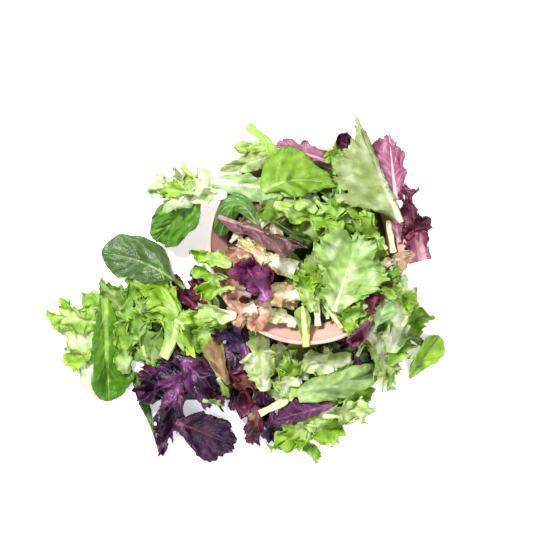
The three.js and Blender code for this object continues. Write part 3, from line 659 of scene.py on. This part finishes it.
def layAlong(kind, heightAt, t, lateral, height):
    # Lays flat leaf measures along the arched and bowed midrib, whose height at share s of the way is
    # z0 + (z1 - z0) s + 4 arch s (1 - s).
    start, end = np.array(kind["start"], float), np.array(kind["end"], float)
    z0 = heightAt(*start) + kind["lift"][0]
    z1 = heightAt(*end) + kind["lift"][1]
    ahead = np.append((end - start) / np.hypot(*(end - start)), 0)
    right = np.array([ahead[1], -ahead[0], 0])

    def midrib(s):
        bulge = 4 * s * (1 - s)
        level = start + (end - start) * s[..., None]
        z = z0 + (z1 - z0) * s + kind["arch"] * bulge
        return np.concatenate([level, z[..., None]], -1) + right * (kind["bow"] * bulge)[..., None]

    tangent = midrib(t + 0.01) - midrib(t - 0.01)
    tangent /= np.linalg.norm(tangent, axis=-1, keepdims=True)
    across = np.cross(tangent, [0, 0, 1])
    across /= np.linalg.norm(across, axis=-1, keepdims=True)
    out = np.cross(across, tangent)
    roll = math.radians(kind["roll"])
    turnedAcross = across * math.cos(roll) + out * math.sin(roll)
    turnedOut = out * math.cos(roll) - across * math.sin(roll)
    return midrib(t) + turnedAcross * lateral[..., None] + turnedOut * height[..., None]


def leafSurface(row, rows, rings, seed, heightAt):
    # Rays run from the midrib to the margin. On a ray q (0 at the cut end, 1 at the tip) the margin is at
    # x = L sin(pi q / 2), y = reach(q), and the ray starts on the midrib at x = 0.93 L q^1.15. Each ray bends
    # in its own upright plane, and its points are the integrals of its pitch's cosine and sine. Then the
    # whole blade crumples: sums of plane waves move its points in x, y and height, more toward the margin.
    kind = {**plainLeaf, **kinds[row["kind"]], **row}
    rng = np.random.default_rng(seed)
    length = np.hypot(*(np.array(row["end"], float) - row["start"]))
    fromCut = np.linspace(0, 1, rows + 1)
    q = fromCut[:, None] * np.ones((1, 2 * rings + 1))
    c = np.ones((rows + 1, 1)) * np.linspace(-1, 1, 2 * rings + 1)[None, :]
    side = np.where(c < 0, -1.0, 1.0)
    b = 1 - (1 - np.abs(c)) ** 1.25
    folds = np.radians(np.where(c < 0, kind["fold"][0], kind["fold"][1]))
    reaches = [reachAlong(kind, values, fromCut, rng)[:, None] for values in kind["reach"]]
    blade = np.where(c < 0, reaches[0], reaches[1]) / np.cos(folds)
    widest = max(reach.max() for reach in reaches)
    marginY = np.maximum(blade, kind["stem"] / 2 * (1 - q) ** 1.5)
    marginX = length * np.sin(math.pi / 2 * q)
    step = np.hypot(np.gradient(marginX, axis=0), np.gradient(marginY, axis=0))
    along = np.cumsum(step, axis=0)
    along = np.where(c < 0, along, along[-1, 0] + along[-1, -1] - along)  # on past the tip to the other side

    ribX = leafLook["ribStart"] * length * q ** leafLook["ribPower"]
    ray = np.hypot(marginX - ribX, marginY) + 1e-6
    opening = np.clip(ray / leafLook["clearRib"], 0, 1) * smoothstep(0.02, 0.2, q)
    cut = marginCuts(kind, rng, along, ray, b, opening)
    pitch, slide = raySwings(kind, rng, along, ray, b, opening, widest)
    level = outward(np.cos(pitch), b)
    rise = outward(np.sin(pitch), b)
    shrink = np.where(c < 0, level[:, 0].mean(), level[:, -1].mean())
    ray = ray * (1 - cut) / shrink
    x = ribX + (marginX - ribX) / np.hypot(marginX - ribX, marginY + 1e-6) * ray * level
    y = marginY / np.hypot(marginX - ribX, marginY + 1e-6) * ray * level
    height = ray * rise

    crumple = kind["crumple"] * min(widest / leafLook["crumpleReach"], 1.0)
    crumple = crumple * smoothstep(0, 0.55, b) * smoothstep(0.0, 0.25, q)
    moved = [
        sum(share * patches(rng, x, y * side, size) for size, share in leafLook["crumples"]) for _ in range(3)
    ]
    x = x + crumple * moved[0]
    y = y + crumple * moved[1]
    height += 1.5 * crumple * moved[2]
    crease = sum(share * np.abs(patches(rng, x, y * side, size)) for size, share in leafLook["creases"])
    height += kind["crease"] * min(widest / leafLook["ruffleReach"], 1.0) * opening * crease * b**0.6
    x = x + slide * np.sin(math.pi * q)
    veinTurn = q * kind["veins"] + 0.35 * ripple(rng, q, 0.6) - 0.3 * b**2
    pucker = np.abs(np.cos(math.pi * veinTurn)) ** 0.7 * np.sin(math.pi * np.clip(b, 0, 0.96)) ** 0.5
    height += kind["savoy"] * opening * (pucker + 0.35 * patches(rng, x, y * side, 7))
    t = x / length
    ribHalf = 0.45 * kind["stem"] * np.clip(1 - t, 0, 1) ** kind["taper"] + 0.3
    ribBump = np.exp(-((y / ribHalf) ** 2))
    height -= 0.22 * ribHalf * ribBump

    lateral = side * y * np.cos(folds)
    height = height + y * np.sin(folds) + kind["cup"] * y**2 / max(widest, 6)
    points = layAlong(kind, heightAt, t, lateral, height)
    tint, ribColour = leafTint(kind, rng, x, y * side, t, b, row["kind"] == "mottled")
    return {
        "points": points,
        "tint": np.clip(tint, 0, 1),
        "fromRib": y,
        "ribWidth": ribHalf,
        "veinGap": length / kind["veins"] * (0.7 + 0.3 * b),
        "veinMap": np.stack([veinTurn, b], -1),
        "ribColour": np.clip(ribColour, 0, 1),
        "ribBump": ribBump * ribHalf,
    }


def leafGrid(rows, rings):
    # The two sides meet at the tip, so the last row's points are shared; both faces and the thin margin
    # close the leaf.
    wide = 2 * rings + 1
    index = np.arange((rows + 1) * wide).reshape(rows + 1, wide)
    top = np.stack([index[:-1, :-1], index[:-1, 1:], index[1:, 1:], index[1:, :-1]], -1).reshape(-1, 4)
    loop = np.concatenate([index[0], index[1:, -1], index[-2::-1, 0]])
    count = index.size
    wall = np.stack([loop[1:], loop[:-1], loop[:-1] + count, loop[1:] + count], -1)
    quads = np.concatenate([top, top[:, ::-1] + count, wall])
    merged = index.copy()
    merged[-1, :rings] = index[-1, ::-1][:rings]
    merged = np.concatenate([merged.ravel(), merged.ravel() + count])
    kept, places = np.unique(merged, return_inverse=True)
    return {"quads": quads, "kept": kept, "places": places, "walls": len(wall)}


# Heap: leaves settle one after another on a map of heights


class HeightMap:
    def __init__(self, low, high, cell):
        self.low, self.cell = np.array(low, float), cell
        counts = ((np.array(high) - self.low) / cell).astype(int) + 1
        steps = [self.low[k] + cell * np.arange(counts[k]) for k in (0, 1)]
        self.x, self.y = np.meshgrid(*steps, indexing="ij")
        self.z = np.zeros(counts)
        self.overRim = False

    def index(self, x, y):
        i = np.clip(((np.asarray(x) - self.low[0]) / self.cell + 0.5).astype(int), 0, self.z.shape[0] - 1)
        j = np.clip(((np.asarray(y) - self.low[1]) / self.cell + 0.5).astype(int), 0, self.z.shape[1] - 1)
        return i, j

    def at(self, x, y):
        # what a leaf's end rests on; past the rim a leaf from the bowl reaches out and sags a little
        i, j = self.index(x, y)
        near = self.z[max(i - 3, 0) : i + 4, max(j - 3, 0) : j + 4]
        past = max(math.hypot(x, y) - bowlRadius, 0)
        level = bowlHeight + 2 - heapLook["droop"] * past if self.overRim else 0
        return max(float(near.mean()), level)

    def settle(self, surface):
        # Lift every point clear of what lies below: the lift is the least smooth sheet over the needed lift.
        points = surface["points"]
        i, j = self.index(points[..., 0], points[..., 1])
        below = self.z.copy()
        gap = heapLook["clearance"] + heapLook["thickness"]
        need = below[i, j] + gap + 0.6 * surface["ribBump"] - points[..., 2]
        need = np.maximum(need, -heapLook["sink"])
        lift = need.copy()

        def shifted(places):
            # the sheet moved by one step, as the edge repeats: (1, 1) is the sheet itself
            wide = np.pad(lift, 1, mode="edge")
            return [wide[a : a + lift.shape[0], b : b + lift.shape[1]] for a, b in places]

        for _ in range(need.shape[1] // 4):
            lift = np.maximum.reduce(shifted(((0, 1), (2, 1), (1, 0), (1, 2), (1, 1))))
        for _ in range(16):
            lift = np.maximum(need, sum(shifted([(a, b) for a in range(3) for b in range(3)])) / 9)
        points[..., 2] += lift
        half = (points[1:, 1:] + points[:-1, :-1]) / 2
        for cloud in (points, half):
            i, j = self.index(cloud[..., 0], cloud[..., 1])
            np.maximum.at(self.z, (i, j), cloud[..., 2])


def clearOfBowl(points):
    # loose leaves that would cut the flared outside of the bowl move out to it
    r = np.hypot(points[..., 0], points[..., 1])
    wall = outerRadius(points[..., 2] + 1.5) + 1.5
    push = np.where(points[..., 2] < bowlHeight + 1, np.maximum(wall / np.maximum(r, 1), 1), 1)
    points[..., :2] *= push[..., None]


def leafMaterial(name, roughness, through, veinStrength, gloss=0.5):
    # Living leaf: waxy skin with a satin gloss over blade tissue that lets yellow-green light through,
    # paler veins under the skin, and cells that pucker between them.
    material, tree = newMaterial(name)
    tint, ribTint = (
        add(tree, "Attribute", attribute_name=key).outputs["Color"] for key in ("tint", "ribColour")
    )
    fromRib, ribWidth, veinGap = (
        add(tree, "Attribute", attribute_name=key).outputs["Fac"]
        for key in ("fromRib", "ribWidth", "veinGap")
    )
    place = add(tree, "TexCoord").outputs["Object"]

    # side veins: a line at each half step of the vein map, which forks on its way to the margin
    split = add(tree, "SeparateXYZ", {0: add(tree, "UVMap", uv_map="veinMap")})
    wobble = add(tree, "TexNoise", {"Vector": place, "Scale": 60.0, "Detail": 1.0}).outputs["Fac"]
    share = maths(tree, "FRACT", maths(tree, "MULTIPLY_ADD", wobble, 0.55, split))
    offset = maths(tree, "ABSOLUTE", maths(tree, "SUBTRACT", share, 0.5))
    main = remap(tree, maths(tree, "MULTIPLY", offset, veinGap), 0.15, 0.9, 1.0, 0.0, "SMOOTHSTEP")
    spacing = remap(tree, split.outputs[1], 0.35, 1.0, 0.0, 0.34)
    forked = maths(tree, "ABSOLUTE", maths(tree, "SUBTRACT", offset, spacing))
    fork = remap(tree, maths(tree, "MULTIPLY", forked, veinGap), 0.1, 0.7, 0.6, 0.0, "SMOOTHSTEP")

    ribEdge = maths(tree, "MULTIPLY", ribWidth, 0.55)
    rib = remap(tree, fromRib, ribEdge, ribWidth, 1.0, 0.0, "SMOOTHSTEP")
    cells = add(tree, "TexVoronoi", {"Vector": place, "Scale": 1 / (2.4 * mm)}, feature="DISTANCE_TO_EDGE")
    net = remap(tree, cells.outputs["Distance"], 0.0, 0.12, 0.07, 0.0)
    veins = maths(tree, "MULTIPLY_ADD", maths(tree, "MAXIMUM", main, fork), veinStrength, net)
    paleShare = maths(tree, "MAXIMUM", veins, rib, use_clamp=True)
    mottle = add(tree, "TexNoise", {"Vector": place, "Scale": 1 / (5 * mm), "Detail": 3.0}).outputs["Fac"]
    value = remap(tree, mottle, 0.25, 0.75, 0.84, 1.14)
    final = add(tree, "HueSaturation", {"Color": blend(tree, paleShare, tint, ribTint), "Value": value})
    pucker = maths(tree, "MULTIPLY", cells.outputs["Distance"], 1.2)
    sunk = maths(tree, "SUBTRACT", pucker, paleShare)
    bump = add(tree, "Bump", {"Height": sunk, "Distance": 0.5 * mm, "Strength": 0.55})
    waxy = {"Roughness": roughness, "IOR": 1.42, "Specular IOR Level": gloss}
    skin = add(tree, "BsdfPrincipled", {"Base Color": final, "Normal": bump, **waxy})
    lit = add(tree, "HueSaturation", {"Color": final, "Saturation": 1.25, "Value": 1.15})
    glow = add(tree, "BsdfTranslucent", {"Color": lit, "Normal": bump})
    both = add(tree, "MixShader", {0: through, 1: skin, 2: glow})
    add(tree, "OutputMaterial", {"Surface": both})
    return material


def leafPiece(name, leaves, material, replaced):
    # Both faces are the settled sheet, half a thickness apart along its normals; the midrib stands out below.
    pointParts, quadParts, wallParts, uvParts = [], [], [], []
    values = {"tint": [], "ribColour": [], "fromRib": [], "ribWidth": [], "veinGap": []}
    total = 0
    for surface, grid in leaves:
        points = surface["points"]
        normal = np.cross(np.gradient(points, axis=1), np.gradient(points, axis=0))
        normal /= np.maximum(np.linalg.norm(normal, axis=-1, keepdims=True), 1e-9)
        depth = (heapLook["thickness"] + 0.5 * surface["ribBump"])[..., None]
        both = np.concatenate([points.reshape(-1, 3), (points - normal * depth).reshape(-1, 3)])
        both[:, 2] = np.maximum(both[:, 2], 0.05)
        pointParts.append(both[grid["kept"]])
        quadParts.append(grid["places"][grid["quads"]] + total)
        walls = np.zeros(len(grid["quads"]), bool)
        walls[-grid["walls"] :] = True
        wallParts.append(walls)
        uv = np.tile(surface["veinMap"].reshape(-1, 2), (2, 1))
        uvParts.append(uv[grid["quads"]].reshape(-1, 2))
        for key, parts in values.items():
            flat = surface[key].reshape(points.shape[0] * points.shape[1], -1)
            parts.append(np.tile(flat, (2, 1))[grid["kept"]])
        total += len(grid["kept"])
    piece = newPiece(name, np.concatenate(pointParts), np.concatenate(quadParts), material, replaced)
    mesh = piece.data
    for key, parts in values.items():
        data = np.concatenate(parts)
        if data.shape[1] == 3:
            data = np.concatenate([data, np.ones((len(data), 1))], 1)
            mesh.attributes.new(key, "FLOAT_COLOR", "POINT").data.foreach_set("color", data.ravel())
        else:
            mesh.attributes.new(key, "FLOAT", "POINT").data.foreach_set("value", data.ravel())
    mesh.uv_layers.new(name="veinMap").data.foreach_set("uv", np.concatenate(uvParts).ravel())
    mesh.polygons.foreach_set("use_smooth", ~np.concatenate(wallParts))
    print(name, len(leaves), "leaves,", 2 * len(mesh.polygons), "triangles")


def mixedFill(rng, count, heroes, inside):
    # leaves that fill the tangle: like the nearest leaf that shows but darkened by the fill tone as painted
    # shade, turned any way, both ends in the heap
    filled = []
    while len(filled) < count:
        near = heroes[rng.integers(len(heroes))]
        middle = (np.array(near["start"]) + near["end"]) / 2 + rng.normal(0, heapLook["fillScatter"], 2)
        turn = rng.uniform(0, 2 * math.pi)
        ahead = np.array([math.cos(turn), math.sin(turn)]) * rng.uniform(*heapLook["fillHalf"])
        ends = (middle - ahead, middle + ahead)
        if near["kind"] != "rib" and all(inside(*end) for end in ends):
            start, end = (tuple(place) for place in ends)
            reaches = rng.uniform(*heapLook["fillReach"], 2)
            filled.append(leaf(near["kind"], start, end, *reaches, **heapLook["fillLeaf"]))
    return filled


def moundHeight(x, y):
    # the highest of the mounds, each top (1 - u^2 - v^2), and of the ring against the bowl
    height = np.zeros(np.broadcast(x, y).shape)
    for at, half, top in mounds:
        away = ((x - at[0]) / half[0]) ** 2 + ((y - at[1]) / half[1]) ** 2
        height = np.maximum(height, top * (1 - away))
    away = ((np.hypot(x, y) - heapLook["skirtRadius"]) / heapLook["skirtHalf"]) ** 2
    fade = smoothstep(*heapLook["skirtFadeY"], -y) * smoothstep(*heapLook["skirtFadeX"], -x)
    height = np.maximum(height, heapLook["skirtTop"] * (1 - away) * fade)
    return np.maximum(height, 0)


def domeHeight(r):
    share = (r / heapLook["domeRadius"]) ** 2
    return bowlHeight - heapLook["domeDepth"] + heapLook["domeRise"] * (1 - share)


def settleAll(rows, heights, seed, fine, outside):
    # lays the rows one after another, each with as many points along and out as its size asks
    large, middling, small, hidden = (110, 13), (72, 10), (46, 7), (30, 6)
    grids = {size: leafGrid(*size) for size in (large, middling, small, hidden)}
    laid = {}
    for order, row in enumerate(rows):
        spread = np.hypot(*(np.array(row["end"]) - row["start"]))
        spread = spread + sum(np.max(reach) for reach in row["reach"])
        size = hidden if not fine else large if spread > 90 else middling if spread > 55 else small
        surface = leafSurface(row, *size, seed + order, heights.at)
        heights.settle(surface)
        if outside:
            clearOfBowl(surface["points"])
        laid.setdefault(row["kind"], []).append((surface, grids[size]))
    return laid


def press(layers, base, top):
    # a heap too tall settles under its own weight: what is over the base comes down in proportion
    everything = [
        surface["points"] for _, laid in layers for made in laid.values() for surface, _ in made
    ]
    highest = max(points[..., 2].max() for points in everything)
    share = min(1, (top - base) / (highest - base))
    for points in everything:
        z = points[..., 2]
        points[..., 2] = np.where(z > base, base + (z - base) * share, z)
    print("pressed to", round(share, 2))


def tangleMaterial():
    # crushed leaf deep in the heap, near black as painted shade for the gaps between the leaves
    material, tree = newMaterial("shadedTangle")
    place = add(tree, "TexCoord").outputs["Object"]
    noise = add(tree, "TexNoise", {"Vector": place, "Scale": 120.0, "Detail": 4.0}).outputs["Fac"]
    mixed = blend(tree, noise, colour("#101a08"), colour("#2c4216"))
    shader = add(tree, "BsdfPrincipled", {"Base Color": mixed, "Roughness": 0.7, "IOR": 1.4})
    add(tree, "OutputMaterial", {"Surface": shader})
    return material


def makeMoundCore(rng, material):
    # A closed patch on the table: its top is the mounds' height with small lumps, and flat where none is.
    grid = 2.0
    thin = 0.4
    x, y = np.meshgrid(np.arange(-200, 130, grid), np.arange(-176, 4, grid), indexing="ij")
    lumpHeight, lumpWave = heapLook["lumps"]
    lumps = lumpHeight * patches(rng, x, y, lumpWave)
    top = moundHeight(x, y)
    tops = np.where(top > 1.5, np.maximum(top + lumps, thin), thin)
    tops = np.where(np.hypot(x, y) < outerRadius(tops + 3) + 3, thin, tops)
    count = x.size
    index = np.arange(count).reshape(x.shape)

    def corners(values):
        return [values[:-1, :-1], values[1:, :-1], values[1:, 1:], values[:-1, 1:]]

    upper = np.stack(corners(index), -1)[np.maximum.reduce(corners(tops)) > 0.5]
    edges = np.concatenate([np.roll(upper, -k, 1)[:, :2] for k in range(4)])
    codes = edges[:, 0] * count + edges[:, 1]
    border = edges[~np.isin(codes, edges[:, 1] * count + edges[:, 0])]
    walls = np.stack([border[:, 1], border[:, 0], border[:, 0] + count, border[:, 1] + count], -1)
    quads = np.concatenate([upper, upper[:, ::-1] + count, walls])
    points = np.concatenate([np.stack([x, y, z], -1).reshape(-1, 3) for z in (tops, 0 * x)])
    kept, places = np.unique(quads, return_inverse=True)
    quads = places.reshape(quads.shape)
    newPiece(
        "tangleRoundBowl", points[kept], quads, material, "salad_round_bowl"
    ).data.shade_smooth()


def makeDomeCore(rng, material):
    # A turned section: underside along the wood, top along the dome with small lumps, and both poles closed.
    edge = heapLook["domeRadius"]
    sides, below, above, pole = 72, 18, 24, 2
    turn = np.linspace(0, 2 * math.pi, sides, endpoint=False)[:, None]
    under = np.linspace(pole, edge, below)
    over = np.linspace(edge - 1, pole, above)
    radius = np.concatenate([under, over])[None, :] * np.ones((sides, 1))
    level = np.concatenate([innerWall(under) + 0.6, domeHeight(over)])[None, :] * np.ones((sides, 1))
    x, y = radius * np.cos(turn), radius * np.sin(turn)
    isTop = np.arange(below + above) >= below
    lumpHeight, lumpWave = heapLook["domeLumps"]
    lumps = lumpHeight * patches(rng, x, y, lumpWave) * np.minimum(1, (edge - radius) / 8)
    level = level + np.where(isTop, lumps, 0)
    index = np.arange(radius.size).reshape(radius.shape)
    after = np.roll(index, -1, 0)
    walls = np.stack([index[:, :-1], after[:, :-1], after[:, 1:], index[:, 1:]], -1).reshape(-1, 4)
    ends = [after[::-1, 0].tolist(), index[:, -1].tolist()]
    points = np.stack([x, y, level], -1).reshape(-1, 3)
    newPiece(
        "tangleInBowl", points, walls.tolist() + ends, material, "salad_in_bowl"
    ).data.shade_smooth()


def makeSalad():
    rng = np.random.default_rng(heapLook["seed"])
    looks = {
        "green_leaf": leafMaterial("freshGreenLeaf", 0.4, 0.38, 0.12, 0.4),
        "pale_leaf": leafMaterial("freshPaleLeaf", 0.42, 0.38, 0.14, 0.4),
        "spinach_leaf": leafMaterial("freshSpinachLeaf", 0.34, 0.22, 0.35),
        "red_leaf": leafMaterial("freshRedLeaf", 0.34, 0.15, 0.25, 0.45),
        "mottled_leaf": leafMaterial("freshMottledLeaf", 0.38, 0.25, 0.2),
        "leaf_stalk": leafMaterial("freshStalk", 0.4, 0.1, 0.3),
    }
    table = HeightMap(heapLook["tableLow"], heapLook["tableHigh"], heapLook["cell"])
    table.z = moundHeight(table.x, table.y)

    def inMound(x, y):
        held = moundHeight(np.array(x), np.array(y)) > heapLook["fillLeast"]
        return held and math.hypot(x, y) > bowlRadius - 12

    def inBowl(x, y):
        return math.hypot(x, y) < heapLook["domeRadius"]

    fill = mixedFill(rng, heapLook["fillAround"], aroundLeaves, inMound)
    around = [("fill", settleAll(fill, table, seed=300, fine=False, outside=True))]
    around.append(("", settleAll(aroundLeaves, table, seed=100, fine=True, outside=True)))
    press(around, heapLook["roundBase"], heapLook["roundTop"])

    r = np.hypot(table.x, table.y)
    inRim = bowlRadius - bowlLook["rimWidth"] - 1.5
    wood = np.where(r < inRim, innerWall(np.minimum(r, inRim)) + 0.5, bowlHeight + 0.4)
    inside = np.where(r < heapLook["domeRadius"], domeHeight(r), wood)
    table.z = np.where(r < bowlRadius + 1, inside, table.z)
    table.overRim = True
    fill = mixedFill(rng, heapLook["fillBowl"], bowlLeaves, inBowl)
    inner = [("fill", settleAll(fill, table, seed=500, fine=False, outside=False))]
    inner.append(("", settleAll(bowlLeaves, table, seed=200, fine=True, outside=False)))
    press(inner, heapLook["bowlBase"], heapLook["bowlTop"])

    for suffix, replaced, layers in (("Round", "salad_round_bowl", around), ("In", "salad_in_bowl", inner)):
        for label, laid in layers:
            for kind, leaves in laid.items():
                slot = kinds[kind]["slot"]
                leafPiece(f"{kind}{label.title()}{suffix}Bowl", leaves, looks[slot], replaced)
    tangle = tangleMaterial()
    rng = np.random.default_rng(heapLook["seed"])
    makeMoundCore(rng, tangle)
    makeDomeCore(rng, tangle)


# Stage

stageLook = {
    "floor": "#f8f8fd",
    "floorGlow": 0.46,
    "floorHalf": 3.0,  # m
    "world": "#f4f6ff",
    "worldStrength": 0.5,
    "lamps": {  # place in m, side in m and watts
        "keyLight": ((-0.65, 0.7, 1.5), 0.4, 51.0),
        "fillLight": ((0.9, -0.7, 1.4), 1.0, 16.0),
    },
    "frameWidth": 480.0,  # mm across the picture at the rim of the bowl
    "cameraHeight": 3000.0,
    "centre": (-36.5, -19.4),
    "sensor": 36.0,
}


def makeStage():
    size = stageLook["floorHalf"]
    mesh = bpy.data.meshes.new("floor")
    corners = [(-size, -size, 0), (size, -size, 0), (size, size, 0), (-size, size, 0)]
    mesh.from_pydata(corners, [], [(0, 1, 2, 3)])
    floor = bpy.data.objects.new("floor", mesh)
    bpy.context.collection.objects.link(floor)
    material, tree = newMaterial("paperFloor")
    paper = add(tree, "BsdfDiffuse", {"Color": colour(stageLook["floor"])})
    glow = add(tree, "Emission", {"Color": colour(stageLook["floor"]), "Strength": stageLook["floorGlow"]})
    add(tree, "OutputMaterial", {"Surface": add(tree, "AddShader", {0: paper, 1: glow})})
    mesh.materials.append(material)

    scene = bpy.context.scene
    world = bpy.data.worlds.new("softRoom")
    world.use_nodes = True
    sky = world.node_tree.nodes["Background"]
    sky.inputs["Color"].default_value = colour(stageLook["world"])
    sky.inputs["Strength"].default_value = stageLook["worldStrength"]
    scene.world = world
    scene.view_settings.view_transform = "Standard"

    for name, (place, side, power) in stageLook["lamps"].items():
        light = bpy.data.lights.new(name, "AREA")
        light.size = side
        light.energy = power
        lamp = bpy.data.objects.new(name, light)
        lamp.location = place
        direction = -np.array(place)
        lamp.rotation_euler = (
            math.atan2(math.hypot(direction[0], direction[1]), -direction[2]),
            0,
            math.atan2(direction[1], direction[0]) - math.pi / 2,
        )
        bpy.context.collection.objects.link(lamp)

    data = bpy.data.cameras.new("camera")
    data.sensor_width = stageLook["sensor"]
    data.lens = stageLook["sensor"] * (stageLook["cameraHeight"] - bowlHeight) / stageLook["frameWidth"]
    data.clip_end = 20
    camera = bpy.data.objects.new("camera", data)
    camera.location = [measure * mm for measure in (*stageLook["centre"], stageLook["cameraHeight"])]
    bpy.context.collection.objects.link(camera)
    scene.camera = camera


makeStage()
makeBowl()
makeSalad()
